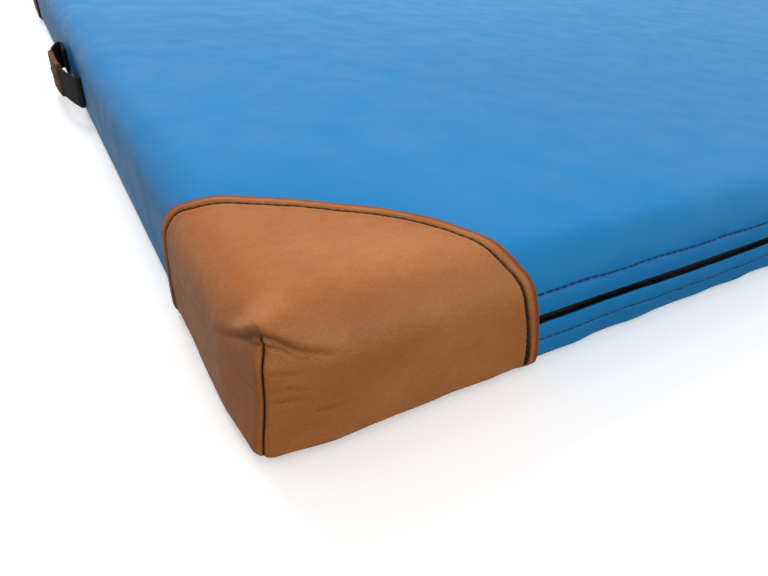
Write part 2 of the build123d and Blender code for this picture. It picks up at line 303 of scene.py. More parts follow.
def lower_front(x, level):
    """The zip side below the slot. The strip hangs a little loose, so its hem stands out and wanders."""
    share = smooth((level - FOOT_RADIUS) / (STRIP_TOP - FOOT_RADIUS))
    wander = slot_edge(x)
    relief = hem_relief(level, STRIP_TOP, STITCH_LOWER) + (1.2 + 0.5 * wander) * share
    relief = relief + 0.5 * puckers(x, 15) * bell(level - STITCH_LOWER, 7)
    line = on_line(x)
    clear = smooth((HALF_LENGTH - LIP_REACH - np.abs(x)) / 40)
    sag = 2.0 * waves(line, 110, 23) + waves(line, 38, 24)
    relief = relief + clear * sag * bell(level - 9, 12)
    points = swollen(x, -HALF_WIDTH, level, relief)
    points[..., 2] += wander * smooth((level - 6) / 20)
    return points


def side_levels():
    """Heights of the rows down a plain side, close together at the roll and the foot."""
    return np.concatenate([
        np.linspace(HEIGHT, HEIGHT - TOP_RADIUS, 13)[1:],
        np.linspace(HEIGHT - TOP_RADIUS, FOOT_RADIUS, 10)[1:],
        np.linspace(FOOT_RADIUS, 0, 6)[1:],
    ])


def front_levels():
    """Heights of the rows down the zip side to the fold above the slot."""
    stitch = STITCH_UPPER + np.array([5, 3.4, 2.4, 1.6, 0.9, 0.3, -0.3, -0.9, -1.6, -2.4, -3.4, -5])
    return np.concatenate([
        np.linspace(HEIGHT, STITCH_UPPER + 7, 14)[1:],
        stitch,
        np.linspace(STITCH_UPPER - 6, SLOT_TOP + 1.2, 5),
        [SLOT_TOP + 0.5, SLOT_TOP + 0.1],
    ])


def folded_hem(fold, direction):
    """The rows over a hem's fold and up its back. direction is +1 for a hem above its fold."""
    rows = []
    for depth, rise in ((0.4, -0.3), (1.1, -0.4), (1.8, 0.1), (2.2, 1.6), (2.3, HEM_TURNED_IN)):
        row = fold.copy()
        row[:, 1] += depth
        row[:, 2] += direction * rise
        rows.append(row)
    return np.array(rows)


def turned_under(x, y):
    """The vinyl turned under the mat, to the edge of the base sheet."""
    rows = []
    for reach in (4, 12, 24, UNDER_REACH):
        inset_x = np.sign(x) * np.minimum(np.abs(x), HALF_LENGTH - reach)
        inset_y = np.sign(y) * np.minimum(np.abs(y), HALF_WIDTH - reach)
        row = skin_at(inset_x, inset_y, 0.0)[0]
        from_corner = np.hypot(HALF_LENGTH - np.abs(row[:, 0]), HALF_WIDTH - np.abs(row[:, 1]))
        row[:, 2] += 4.2 * smooth((0.9 * LIP_REACH - from_corner) / 14)
        rows.append(row)
    return np.array(rows)


def skirt_faces(edge, rows, first):
    """Quads from an edge of the top down through rows of points, the first of which has number first."""
    own = np.arange(rows.shape[0] * rows.shape[1]).reshape(rows.shape[:2]) + first
    table = np.concatenate([edge[None], own])
    quads = np.stack([table[:-1, :-1], table[1:, :-1], table[1:, 1:], table[:-1, 1:]], -1)
    return quads.reshape(-1, 4)


def cover_vinyl():
    """The sheet over the top and down the sides: to the slot on the zip side, and under the mat on the
    other three."""
    lines_x, lines_y = axis_lines(HALF_LENGTH, 560), axis_lines(HALF_WIDTH, 380)
    x, y = np.meshgrid(lines_x, lines_y, indexing="ij")
    top = swollen(x, y, HEIGHT).reshape(-1, 3)
    index = np.arange(x.size).reshape(x.shape)

    front = np.array([upper_front(lines_x, level) for level in front_levels()])
    front = np.concatenate([front, folded_hem(front[-1], 1)])

    round_x = np.concatenate([0 * lines_y + HALF_LENGTH, lines_x[-2::-1], 0 * lines_y[1:] - HALF_LENGTH])
    round_y = np.concatenate([lines_y, 0 * lines_x[1:] + HALF_WIDTH, lines_y[-2::-1]])
    round_edge = np.concatenate([index[-1, :], index[-2::-1, -1], index[0, -2::-1]])
    rest = np.array([swollen(round_x, round_y, level) for level in side_levels()])
    rest = np.concatenate([rest, turned_under(round_x, round_y)])

    faces = [
        grid_faces(*x.shape, flip=True),
        skirt_faces(index[:, 0], front, x.size),
        skirt_faces(round_edge, rest, x.size + front[..., 0].size),
    ]
    # painted shade along the stitched channel above the zip, read by the material
    seam = bell(front[..., 2].ravel() - STITCH_UPPER, 1.1)
    seam = np.concatenate([np.zeros(x.size), seam, np.zeros(rest[..., 0].size)])
    points = np.concatenate([top, front.reshape(-1, 3), rest.reshape(-1, 3)])
    obj = new_mesh("cover_vinyl", points, np.concatenate(faces), {"seam": seam})
    weld(obj)
    return obj


def cover_strip():
    """The strip below the zip: its folded hem, its stitched channel, and its turn under the mat."""
    x = axis_lines(HALF_LENGTH, 560)
    x = x[np.abs(x) < HALF_LENGTH - 60]
    x = np.sort(np.concatenate([x, (x[1:] + x[:-1]) / 2]))
    stitch = STITCH_LOWER + np.array([4, 2.6, 1.6, 0.9, 0.3, -0.3, -0.9, -1.6, -2.6, -4])
    fold = STRIP_TOP - np.array([0.1, 0.5, 1.2, 2.4, 4.2, 6.5, 8.5])
    levels = np.concatenate([fold, stitch, np.linspace(FOOT_RADIUS + 2, 0, 8)])
    rows = np.array([lower_front(x, level) for level in levels])
    under = turned_under(x, np.full_like(x, -HALF_WIDTH))
    under[..., 2] = 2 * OFF_FLOOR
    points = np.concatenate([folded_hem(rows[0], -1)[::-1], rows, under])
    points[..., 2] = np.maximum(points[..., 2], OFF_FLOOR)
    # painted shade along the stitched channel below the zip
    seam = bell(points[..., 2] - slot_edge(x) - STITCH_LOWER, 1.1)
    faces = grid_faces(points.shape[0], points.shape[1], flip=True)
    return new_mesh("cover_strip", points.reshape(-1, 3), faces, {"seam": seam})


def zip_guard():
    """A dark sheet behind the zip, standing in for the shade inside the mat. It closes the view into the mat
    past the ends of the teeth.
    """
    tape_low, tape_high = cad_box("zip_tape_lower")[0], cad_box("zip_tape_upper")[1]
    x, z = np.meshgrid(
        np.linspace(tape_low[0] - 15, tape_high[0] + 15, 430),
        np.linspace(tape_low[2] + 3, tape_high[2] - 3, 9),
    )
    behind_slider = cad_box("zip_slider")[1][1] + 1.8
    y = behind_slider + 0.5 * waves(np.stack([x, z], -1), 60, 27)
    dark_sheet = new_mesh("zip_guard", np.stack([x, y, z], -1).reshape(-1, 3), grid_faces(*x.shape))
    thicken(dark_sheet, SHADE_SHEET_THICKNESS)
    return dark_sheet


# ---------------------------------------------------------------- leather corners

def leather_rows():
    """How far each row lies from the corner, up to the middle stretch, and from the raw edge after it."""
    near = [0, 0.3, 0.7, 1.2, 1.8, 2.6, 3.6, 4.7, 5.9, 7.2, 8.6, 10.2, 12, 14, 16, 18]
    lip = [13.5, 11.8, 10.6, 9.9, 9.4, 9.0, 8.6, 8.2, 7.8, 7.3, 6.5, 5.4, 4.2, 3.0, 2.0, 1.1, 0.4, 0.0]
    return near, np.linspace(0, 1, 58)[1:-1], lip


def lip_down_side(level, long_side):
    """How far the raw edge lies from the corner down a side, by height."""
    share = level / HEIGHT
    if not long_side:
        return LIP_REACH * (0.815 - 0.05 * share**6)
    return LIP_REACH * (1 - 0.16 * share**1.3) - 7 * bell(level, 4)


def lip_over_top(turn):
    """The same across the top, by its direction from the long side. It meets both sides smoothly."""
    def plain_reach(turn):
        swing = np.cos(2 * turn)
        return LIP_REACH * (0.694 + 0.076 * swing + 0.037 * swing**2)

    reach = plain_reach(turn)
    ends = ((0.0, np.sin(turn), True, 17), (math.pi / 2, np.cos(turn), False, 26))
    for end, away, long_side, fade in ends:
        step = lip_down_side(HEIGHT, long_side) - plain_reach(end)
        reach = reach + step * np.exp(-0.7 * LIP_REACH * away / fade)
    return reach


def leather_loop():
    """Round the corner once: over the top, down the short side, under the mat and up the long side. Each
    station is (share along the long side, share along the short side, height, reach)."""
    step = np.linspace(0, 1, 81)
    arc = math.pi / 2 * (0.55 * step + 0.45 * (1 - np.cos(math.pi * step)) / 2)
    levels = np.linspace(HEIGHT, 0, 57)[1:-1]
    foot_long, foot_short = lip_down_side(0.0, True), lip_down_side(0.0, False)
    stations = [(math.cos(t), math.sin(t), HEIGHT, lip_over_top(t)) for t in arc]
    stations += [(0, 1, z, lip_down_side(z, False)) for z in levels]
    under = foot_long + (foot_short - foot_long) * arc[::-1] / (math.pi / 2)
    stations += [(math.cos(t), math.sin(t), 0, r) for t, r in zip(arc[::-1], under)]
    stations += [(1, 0, z, lip_down_side(z, True)) for z in levels[::-1]]
    return np.array(stations)


def crease(s, z, path):
    """How far points of a side, in (distance from the corner, height), are from a path, and how high
    above it."""
    nearest, above = np.full(s.shape, 1e9), np.zeros(s.shape)
    for start, stop in zip(np.array(path[:-1], float), np.array(path[1:], float)):
        run = stop - start
        share = np.clip(((s - start[0]) * run[0] + (z - start[1]) * run[1]) / (run @ run), 0, 1)
        ds, dz = s - start[0] - share * run[0], z - start[1] - share * run[1]
        distance = np.hypot(ds, dz)
        above = np.where(distance < nearest, dz, above)
        nearest = np.minimum(distance, nearest)
    return nearest, above


# Folds at the top of the corner seam. Each is (on the long side, path in distance from the corner and
# height, depth, half width, where it has faded, how much the leather swells above it).
HERO_FOLDS = (
    (True, ((0, 77), (6, 72), (13, 67.5), (19, 64), (30, 61)), 2.0, 1.5, 36, 1.4),
    (True, ((1, 71), (9, 67), (16, 62), (26, 59)), 1.3, 0.7, 27, 0.5),
    (False, ((0, 77), (9, 69), (22, 62), (38, 55)), 1.7, 1.4, 40, 1.1),
    (False, ((0, 71), (7, 68), (15, 66)), 1.2, 0.7, 17, 0.4),
    (True, ((4, 41), (9, 39.5), (19, 39)), 0.6, 0.7, 23, 0.3),
    (True, ((9, 47.5), (18, 44.5)), 0.5, 0.7, 23, 0.3),
    (True, ((3, 57), (15, 54)), 0.5, 0.8, 19, 0.3),
    (True, ((24, 30), (44, 31)), 0.4, 0.8, 60, 0.2),
    (False, ((5, 45), (14, 43)), 0.4, 0.8, 20, 0.2),
)


def other_folds(seed):
    """The folds of a corner that is not the hero one."""
    shift = (1.7 * seed) % 4 - 2
    return (
        (True, ((0, 77), (6, 70 + shift), (16, 64), (28, 60)), 1.5, 1.7, 30, 1.0),
        (False, ((0, 77), (8, 69 - shift), (20, 62), (32, 58)), 1.5, 1.7, 34, 1.0),
        (True, ((4, 44 + shift), (15, 42)), 0.4, 0.8, 18, 0.2),
    )


def groove_half(height):
    """Half the width of the groove, which opens towards the underside."""
    return 0.45 + 0.75 * smooth(1 - height / HEIGHT)


def corner_relief(a, b, c, from_edge, folds, seed):
    """How far the leather stands off its plain form: seam, folds, lip and groove; and the painted shade
    along the folds' creases.
    """
    on_long = b <= a
    s = np.where(on_long, a, b)
    r = np.hypot(a, b)
    block = np.stack([a, b, c], -1)
    wall = smooth((HEIGHT - 3 - c) / 8) * smooth((c + 1) / 6)
    pucker = 1 + 0.25 * waves(on_line(c), 9, 51 + seed)
    relief = -SEAM_DEPTH * bell(r, 0.9) * wall
    relief += 0.3 * pucker * np.exp(1 - r / 3.2) * (r / 3.2) * wall
    relief += 0.5 * waves(block, 46, 31 + seed) * smooth(r / 25)
    relief += 0.18 * waves(block, 11, 41 + seed)
    crease_shade = 0 * r
    for long_side, path, depth, width, fade, rise in folds:
        distance, above = crease(s, c, path)
        strength = smooth(1.2 - s / fade) * (on_long == long_side) * smooth((HEIGHT - 0.5 - c) / 5)
        relief -= depth * bell(distance, width) * strength
        # painted shade: darkens the leather along each fold's crease
        crease_shade = np.maximum(crease_shade, min(depth, 1.0) * bell(distance, 0.7 * width) * strength)
        relief += rise * bell(distance - 2.8 * width, 2.2 * width) * (above > 0) * strength
    lip = smooth((GROOVE_AT - 0.7 - from_edge) / 1.4)
    crown = 1 - 0.25 * ((from_edge - 4.5) / 4.5) ** 2
    roll = 1 - np.sqrt(np.clip(1 - (np.clip(2.6 - from_edge, 0, 2.6) / 2.6) ** 2, 0, 1))
    relief += lip * (LIP_HEIGHT * crown - 1.5 * roll)
    relief += lip * 0.3 * waves(block, 22, 61 + seed)
    relief -= GROOVE_DEPTH * trough(from_edge - GROOVE_AT, groove_half(c), 0.5)
    relief += 0.45 * bell(from_edge - GROOVE_AT - 2.8, 1.6)
    return relief, crease_shade


def corner_grid(loop):
    """The leather's points on the plain block, row by row out from the corner, and how far each one is
    from the raw edge."""
    near, middle, lip = leather_rows()
    reach = loop[:, 3]
    start, stop = near[-1], reach - lip[0]
    rows = [s + 0 * reach for s in near]
    rows += [start + (stop - start) * m for m in middle]
    rows += [reach - e for e in lip]
    distance = np.array(rows)
    a, b, c = distance * loop[:, 0], distance * loop[:, 1], loop[:, 2] + 0 * distance
    return a, b, c, reach - distance


def shape_tip(points, r, c, signs, wander):
    """Pinches the corner of the top up into a small nose over the seam, and lets the seam wander to one
    side towards its foot."""
    nose = bell(r, 5.5) * smooth((c - (HEIGHT - 5)) / 5)
    pinch = bell(c - 69, 7) * bell(r, 9) * (c < HEIGHT)
    points[..., 2] += 1.8 * nose
    inward = np.array([-signs[0], -signs[1], 0]) / math.sqrt(2)
    points += inward * (2.6 * pinch - 1.2 * nose)[..., None]
    along = np.array([-signs[0], signs[1], 0]) / math.sqrt(2)
    points += along * (wander * smooth(1 - c / 70) * bell(r, 16))[..., None]


def corner_marks(a, b, c, from_edge, crease_shade):
    """What the leather's material reads: painted shade in the groove, the corner seam and the creases, the
    raw edge with its fibres, and painted shade on the short side's upper roll.
    """
    r = np.hypot(a, b)
    # painted shade in the V of the corner seam
    seam = trough(r, 0.4, 0.5) * smooth((HEIGHT - 2 - c) / 4)
    # painted shade in the stitched groove
    groove = trough(from_edge - GROOVE_AT + 0.15, groove_half(c), 0.45)
    # painted shade: a deeper orange on the short side's upper roll, where the leather turns from the light
    roll_shade = bell(np.minimum(a, b) - 5, 12) * smooth((c - 50) / 30) * smooth((r - 8) / 30) * (a < b)
    return {
        "groove": np.clip(groove + seam + 0.5 * crease_shade, 0, 1),
        "raw": smooth((5.2 - from_edge) / 2.4),
        "fuzz": smooth((0.9 - from_edge) / 0.6),
        "roll_shade": roll_shade,
    }


def leather_corner(name, sign_x, sign_y, seed):
    """One leather corner over the vinyl, with its thickness, and the line that its stitching follows."""
    a, b, c, from_edge = corner_grid(leather_loop())
    measures, out = skin(a, b, c)
    base, normal = to_row(measures, sign_x, sign_y), turn_out(out, sign_x, sign_y)
    folds = HERO_FOLDS if seed == 0 else other_folds(seed)
    relief, crease_shade = corner_relief(a, b, c, from_edge, folds, seed)
    points = base + normal * (LEATHER_OUT + relief + swell(base))[..., None]
    points[..., 2] -= UNDER_LIFT * np.minimum(normal[..., 2], 0)
    shape_tip(points, np.hypot(a, b), c, (sign_x, sign_y), wander=1.6 - seed)
    points[..., 2] = np.maximum(points[..., 2], OFF_FLOOR)
    faces = grid_faces(*points.shape[:2], wrap=True, flip=sign_x * sign_y > 0)
    obj = new_mesh(name, points.reshape(-1, 3), faces, corner_marks(a, b, c, from_edge, crease_shade))
    weld(obj)
    thicken(obj, LEATHER - 0.1)
    lip = leather_rows()[2]
    row = int(np.argmin(np.abs(np.array(lip) - GROOVE_AT))) - len(lip)
    line = np.concatenate([points[row], points[row][:1]])
    return obj, line, np.concatenate([normal[row], normal[row][:1]])


# ---------------------------------------------------------------- materials

class Shader:
    """A node material with a Principled shader, built up by small calls."""

    def __init__(self, name, **inputs):
        self.material = bpy.data.materials.new(name)
        self.material.use_nodes = True
        self.tree = self.material.node_tree
        self.tree.nodes.clear()
        self.out = self.tree.nodes.new("ShaderNodeOutputMaterial")
        self.bsdf = self.tree.nodes.new("ShaderNodeBsdfPrincipled")
        self.tree.links.new(self.bsdf.outputs[0], self.out.inputs[0])
        for key, value in inputs.items():
            self.bsdf.inputs[key.replace("_", " ")].default_value = value

    def node(self, kind, inputs=None, **settings):
        node = self.tree.nodes.new("ShaderNode" + kind)
        for key, value in settings.items():
            setattr(node, key, value)
        for key, value in (inputs or {}).items():
            socket = node.inputs[key]
            if isinstance(value, bpy.types.NodeSocket):
                self.tree.links.new(value, socket)
            else:
                socket.default_value = value
        return node

    def link(self, key, output):
        self.tree.links.new(output, self.bsdf.inputs[key])

    def place(self):
        return self.node("TexCoord").outputs["Object"]

    def noise(self, scale, detail=3.0, rough=0.5, vector=None):
        vector = vector or self.place()
        inputs = {"Vector": vector, "Scale": scale, "Detail": detail, "Roughness": rough}
        return self.node("TexNoise", inputs).outputs[0]

    def cells(self, scale):
        inputs = {"Vector": self.place(), "Scale": scale}
        return self.node("TexVoronoi", inputs, feature="DISTANCE_TO_EDGE").outputs[0]

    def spread(self, value, low, high, out_low=0.0, out_high=1.0):
        inputs = {"Value": value, "From Min": low, "From Max": high, "To Min": out_low, "To Max": out_high}
        return self.node("MapRange", inputs).outputs[0]

    def mix(self, factor, first, second):
        node = self.node("Mix", data_type="RGBA", blend_type="MIX")
        for index, value in ((0, factor), (6, first), (7, second)):
            if isinstance(value, bpy.types.NodeSocket):
                self.tree.links.new(value, node.inputs[index])
            else:
                node.inputs[index].default_value = value
        return node.outputs[2]

    def math(self, operation, first, second):
        node = self.node("Math", operation=operation)
        for index, value in enumerate((first, second)):
            if isinstance(value, bpy.types.NodeSocket):
                self.tree.links.new(value, node.inputs[index])
            else:
                node.inputs[index].default_value = value
        return node.outputs[0]

    def mark(self, name):
        return self.node("Attribute", attribute_name=name).outputs["Fac"]

    def bump(self, height, distance, strength=1.0, normal=None):
        inputs = {"Height": height, "Distance": distance, "Strength": strength}
        if normal:
            inputs["Normal"] = normal
        return self.node("Bump", inputs).outputs[0]


def rgb(red, green, blue):
    return (red, green, blue, 1.0)


def vinyl_material():
    m = Shader("vinyl_blue", IOR=1.45, Specular_IOR_Level=0.16)
    cloud = m.spread(m.noise(5.0, 4.0), 0.3, 0.7)
    colour = m.mix(cloud, rgb(0.009, 0.185, 0.45), rgb(0.012, 0.200, 0.48))
    speck = m.spread(m.noise(1200.0, 2.0), 0.35, 0.65)
    colour = m.mix(m.math("MULTIPLY", speck, 0.2), colour, rgb(0.006, 0.13, 0.34))
    # painted shade: darkens the vinyl along the stitched channels
    colour = m.mix(m.math("MULTIPLY", m.mark("seam"), 0.55), colour, rgb(0.006, 0.05, 0.16))
    m.link("Base Color", colour)
    m.link("Roughness", m.spread(m.noise(30.0, 5.0), 0.3, 0.7, 0.36, 0.5))
    first = m.bump(m.spread(m.cells(720.0), 0.0, 0.3), 0.00010, 0.8)
    second = m.bump(m.noise(110.0, 5.0, 0.55), 0.0005, 0.2, first)
    m.link("Normal", second)
    return m.material


def leather_material():
    m = Shader("leather_tan", IOR=1.45, Specular_IOR_Level=0.4)
    cloud = m.spread(m.noise(18.0, 6.0, 0.6), 0.3, 0.7)
    colour = m.mix(cloud, rgb(0.34, 0.112, 0.026), rgb(0.43, 0.168, 0.052))
    speck = m.spread(m.noise(900.0, 3.0), 0.35, 0.65)
    colour = m.mix(m.math("MULTIPLY", speck, 0.3), colour, rgb(0.26, 0.070, 0.012))
    # painted shade: deeper orange along the short side's upper roll
    colour = m.mix(m.math("MULTIPLY", m.mark("roll_shade"), 0.35), colour, rgb(0.42, 0.10, 0.012))
    raw = m.math("MULTIPLY", m.mark("raw"), m.spread(m.noise(420.0, 4.0), 0.1, 0.4))
    colour = m.mix(raw, colour, rgb(0.20, 0.044, 0.005))
    fuzz = m.math("MULTIPLY", m.mark("fuzz"), m.spread(m.noise(1500.0, 2.0), 0.45, 0.6))
    colour = m.mix(m.math("MULTIPLY", fuzz, 0.7), colour, rgb(0.55, 0.42, 0.32))
    # painted shade: the groove, the corner seam and the creases are darkened nearly to black
    colour = m.mix(m.mark("groove"), colour, rgb(0.016, 0.005, 0.003))
    m.link("Base Color", colour)
    m.link("Roughness", m.spread(m.noise(160.0, 5.0), 0.3, 0.7, 0.42, 0.58))
    pores = m.spread(m.cells(620.0), 0.0, 0.28)
    first = m.bump(pores, 0.00012, 0.6)
    stretched = m.node("Mapping", {"Vector": m.place(), "Scale": (1.0, 1.0, 3.2)}).outputs[0]
    second = m.bump(m.noise(130.0, 7.0, 0.62, stretched), 0.0009, 0.3, first)
    m.link("Normal", second)
    return m.material


def plain_material(name, colour, roughness, scale=600.0, depth=0.0002, metallic=0.0):
    """Thread, tape, nylon or enamel: one colour with a little variation and a fine grain."""
    m = Shader(name, Metallic=metallic)
    cloud = m.spread(m.noise(scale * 0.2, 4.0), 0.3, 0.7)
    dark = [0.6 * value for value in colour]
    m.link("Base Color", m.mix(cloud, rgb(*dark), rgb(*colour)))
    m.link("Roughness", m.spread(m.noise(scale, 3.0), 0.3, 0.7, roughness - 0.08, roughness + 0.08))
    m.link("Normal", m.bump(m.noise(scale, 4.0), depth, 0.6))
    return m.material


def webbing_material():
    """Coarse twill, with ribs along the strap."""
    m = Shader("webbing_black", Roughness=0.75, IOR=1.45)
    place = m.place()
    inputs = {"Vector": place, "Scale": 330.0, "Distortion": 0.4}
    ribs = m.node("TexWave", inputs, bands_direction="Z").outputs[1]
    rows = m.node("TexWave", {"Vector": place, "Scale": 420.0}, bands_direction="Y").outputs[1]
    weave = m.math("MULTIPLY", ribs, rows)
    m.link("Base Color", m.mix(weave, rgb(0.006, 0.006, 0.007), rgb(0.03, 0.03, 0.034)))
    m.link("Normal", m.bump(weave, 0.0007, 0.8))
    return m.material


def base_material():
    """Anti-slip sheet with a field of small round dimples."""
    m = Shader("base_sheet", Roughness=0.8)
    inputs = {"Vector": m.place(), "Scale": 210.0, "Randomness": 0.0}
    dots = m.node("TexVoronoi", inputs, feature="F1", voronoi_dimensions="2D").outputs[0]
    field = m.spread(dots, 0.15, 0.42, 1.0, 0.0)
    m.link("Base Color", m.mix(field, rgb(0.012, 0.02, 0.035), rgb(0.03, 0.045, 0.07)))
    m.link("Normal", m.bump(field, 0.0008))
    return m.material


def give(obj, material):
    obj.data.materials.clear()
    obj.data.materials.append(material)
    return obj


# ---------------------------------------------------------------- stitching

def stitch_run(points, outward, pitch, length, radius, drift, rng):
    """Single stitches along a line, each a small rounded thread that dips into its holes at both ends."""
    step = np.linalg.norm(np.diff(points, axis=0), axis=1)
    total = np.concatenate([[0], np.cumsum(step)])
    count = int(total[-1] / pitch)
    ring = np.linspace(0, 2 * math.pi, 7)[:-1]
    stations = np.linspace(-1, 1, 7)
    verts, faces = [], []

    def at(distance, table):
        return np.array([np.interp(distance, total, table[:, k]) for k in range(3)])

    for i in range(count):
        middle = (i + 0.5) * pitch + rng.uniform(-0.1, 0.1) * pitch
        start, stop = at(middle - length / 2, points), at(middle + length / 2, points)
        up = at(middle, outward)
        up /= np.linalg.norm(up)
        along = stop - start
        reach = np.linalg.norm(along)
        along /= reach
        across = np.cross(up, along)
        tilt = rng.uniform(-1, 1) * drift
        first = len(verts)
        for t in stations:
            centre = (start + stop) / 2 + along * (t * reach / 2) + across * (tilt * t)
            centre = centre + up * (radius * (0.8 - 1.7 * t**4))
            size = radius * math.sqrt(max(1 - 0.8 * abs(t) ** 5, 0.05))
            for angle in ring:
                verts.append(centre + (across * math.cos(angle) + up * math.sin(angle)) * size)
        faces.append(grid_faces(len(stations), len(ring), wrap=True, start=first))
    return verts, faces


def stitches(name, runs, pitch, length, radius, drift, seed):
    """One piece of stitching from several lines, each (points, outward)."""
    rng = np.random.default_rng(seed)
    points, quads = [], []
    for line, outward in runs:
        verts, faces = stitch_run(line, outward, pitch, length, radius, drift, rng)
        for block in faces:
            quads += [[q + len(points) for q in quad] for quad in block]
        points += verts
    return new_mesh(name, np.array(points), quads)


# ---------------------------------------------------------------- handles

STRAP_HALF = 15.0        # half the width of the webbing
STRAP = 2.2              # its thickness
FOLD = 1.5               # radius of the fold at each end of the loop
LOOP_OUT = 17.0          # how far the middle of the loop stands off the side
GRIP_HALF = 31.0         # half the length of the leather sleeve
GRIP = 2.1               # leather round the webbing


def loop_line(y):
    """How far the loop stands off the side. It leans a little towards the back."""
    share = (y - 7 * (1 - (y / HANDLE_HALF) ** 2)) / (HANDLE_HALF - FOLD)
    near = STRAP / 2 + 0.25 + 2 * FOLD
    return near + (LOOP_OUT - near) * np.clip(1 - np.abs(share) ** 2.3, 0, 1)


def strap_path(inner, fold_at):
    """The webbing seen from above as (out from the side, along it): sewn end, fold, loop, fold, sewn end."""
    flat = STRAP / 2 + 0.25
    half = [(flat, y) for y in np.linspace(-inner, -fold_at, 8)]
    turn = np.linspace(0, math.pi, 9)[1:-1]
    half += [(flat + FOLD - FOLD * math.cos(t), -fold_at - FOLD * math.sin(t)) for t in turn]
    loop = [(float(loop_line(y)), y) for y in np.linspace(-fold_at, fold_at, 61)]
    return np.array(half + loop + [(x, -y) for x, y in reversed(half)])


def rounded(half_width, half_thick, count=6):
    """The outline of a band: straight faces and round edges, as (thickness, width) points."""
    turn = np.linspace(-math.pi / 2, math.pi / 2, count)
    flat = half_width - half_thick
    edge = [(half_thick * math.sin(t), flat + half_thick * math.cos(t)) for t in turn]
    across = np.linspace(flat, -flat, 9)[1:-1]
    face = [(half_thick, w) for w in across]
    return np.array(edge + face + [(-t, -w) for t, w in edge] + [(-t, -w) for t, w in face])


def sweep(path, outline, level, side, sizes=None):
    """A band along a path round a handle. sizes shrinks the outline towards the path at each station."""
    along = np.gradient(path, axis=0)
    along /= np.linalg.norm(along, axis=1, keepdims=True)
    normal = np.stack([along[:, 1], -along[:, 0]], -1)
    sizes = np.ones((len(path), 2)) if sizes is None else sizes
    thick = outline[None, :, 0] * sizes[:, :1]
    wide = outline[None, :, 1] * sizes[:, 1:]
    flat = path[:, None, :] + normal[:, None, :] * thick[..., None]
    points = np.stack([side * (HALF_LENGTH + flat[..., 0]), flat[..., 1], level + wide], -1)
    faces = [list(f) for f in grid_faces(len(path), len(outline), wrap=True, flip=side < 0)]
    ring = list(range(len(outline)))
    last = [len(outline) * (len(path) - 1) + k for k in ring]
    ends = [ring, last[::-1]] if side > 0 else [ring[::-1], last]
    return points, faces + ends


def handle_webbing(body, level, side):
    """The webbing, with its ends sewn to the mat."""
    inner = cad_box(body + "_end_back")[0][1]
    path = strap_path(inner, HANDLE_HALF - FOLD - STRAP / 2)
    points, faces = sweep(path, rounded(STRAP_HALF, STRAP / 2), level, side)
    strap = give(new_mesh(body + "_webbing", points.reshape(-1, 3), faces), WEBBING)
    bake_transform(strap)
    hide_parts(body + "_strap", body + "_end_back", body + "_end_front")


def handle_sleeve(body, level, side):
    """The leather sleeve round the middle of the loop."""
    y = np.linspace(-GRIP_HALF, GRIP_HALF, 41)
    y = np.concatenate([[y[0], y[0], y[0] + 0.4], y[1:-1], [y[-1] - 0.4, y[-1], y[-1]]])
    middle = np.stack([loop_line(y), y], -1)
    middle[0, 1] += 0.05
    middle[-1, 1] -= 0.05
    bulge = 1 + 0.05 * waves(on_line(y), 30, 71)
    sizes = np.stack([bulge, 1 + 0 * y], -1)
    sizes[[0, -1]] = (0.3, 0.85)
    sizes[[1, -2]] = (0.85, 0.97)
    outline = rounded(STRAP_HALF + GRIP, STRAP / 2 + GRIP, 9)
    points, faces = sweep(middle, outline, level, side, sizes)
    grip = give(new_mesh(body + "_sleeve", points.reshape(-1, 3), faces), GRIP_LEATHER)
    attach(grip, body)
    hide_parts(body + "_grip")


def handle_seam(body, level, side):
    """The stitching along the sleeve."""
    y = np.linspace(-GRIP_HALF + 2, GRIP_HALF - 2, 40)
    line = np.stack([side * (HALF_LENGTH + loop_line(y) + STRAP / 2 + GRIP), y, level + 0 * y], -1)
    outward = np.tile([side * 1.0, 0.0, 0.0], (len(y), 1))
    thread = give(stitches(body + "_seam", [(line, outward)], *GRIP_STITCH, 80), BROWN_THREAD)
    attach(thread, body)
    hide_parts(body + "_grip_thread")


def add_handle(where, side):
    """One carry handle. side is -1 for the left end of the mat and 1 for the right."""
    body = "handle_" + where
    low, high = cad_box(body + "_strap")
    level = (low[2] + high[2]) / 2
    handle_webbing(body, level, side)
    handle_sleeve(body, level, side)
    handle_seam(body, level, side)


# ---------------------------------------------------------------- camera, floor and light

# The corner is seen from above, with a phone's wide lens held a little askew.
CAMERA_FROM_CORNER = (-54.5, -162.8, 220.9)
CAMERA_TURN, CAMERA_DOWN, CAMERA_ROLL = 0.597, 0.603, 0.106
LENS = 26.5
SENSOR = 36.0

FLOOR_HALF = 4e4                             # half the side of the floor
GROUND, SKY, HORIZON = 0.10, 0.62, 0.45      # strengths of the world's light


def add_camera():
    data = bpy.data.cameras.new("camera")
    data.lens, data.sensor_width = LENS, SENSOR
    data.clip_start, data.clip_end = 0.01, 50
    camera = bpy.data.objects.new("camera", data)
    bpy.context.scene.collection.objects.link(camera)
    seam = np.array([
        -HALF_LENGTH - LEATHER + CORNER_INSET, -HALF_WIDTH - LEATHER + CORNER_INSET, 0
    ])
    turn, down, roll = CAMERA_TURN, CAMERA_DOWN, CAMERA_ROLL
    forward = Vector((math.sin(turn) * math.cos(down), math.cos(turn) * math.cos(down), -math.sin(down)))
    right = Vector((math.cos(turn), -math.sin(turn), 0))
    up = right.cross(forward)
    tilted_right = math.cos(roll) * right + math.sin(roll) * up
    tilted_up = -math.sin(roll) * right + math.cos(roll) * up
    rotation = Matrix((tilted_right, tilted_up, -forward)).transposed().to_4x4()
    camera.matrix_world = Matrix.Translation(Vector(seam + CAMERA_FROM_CORNER) * MM) @ rotation
    bpy.context.scene.camera = camera


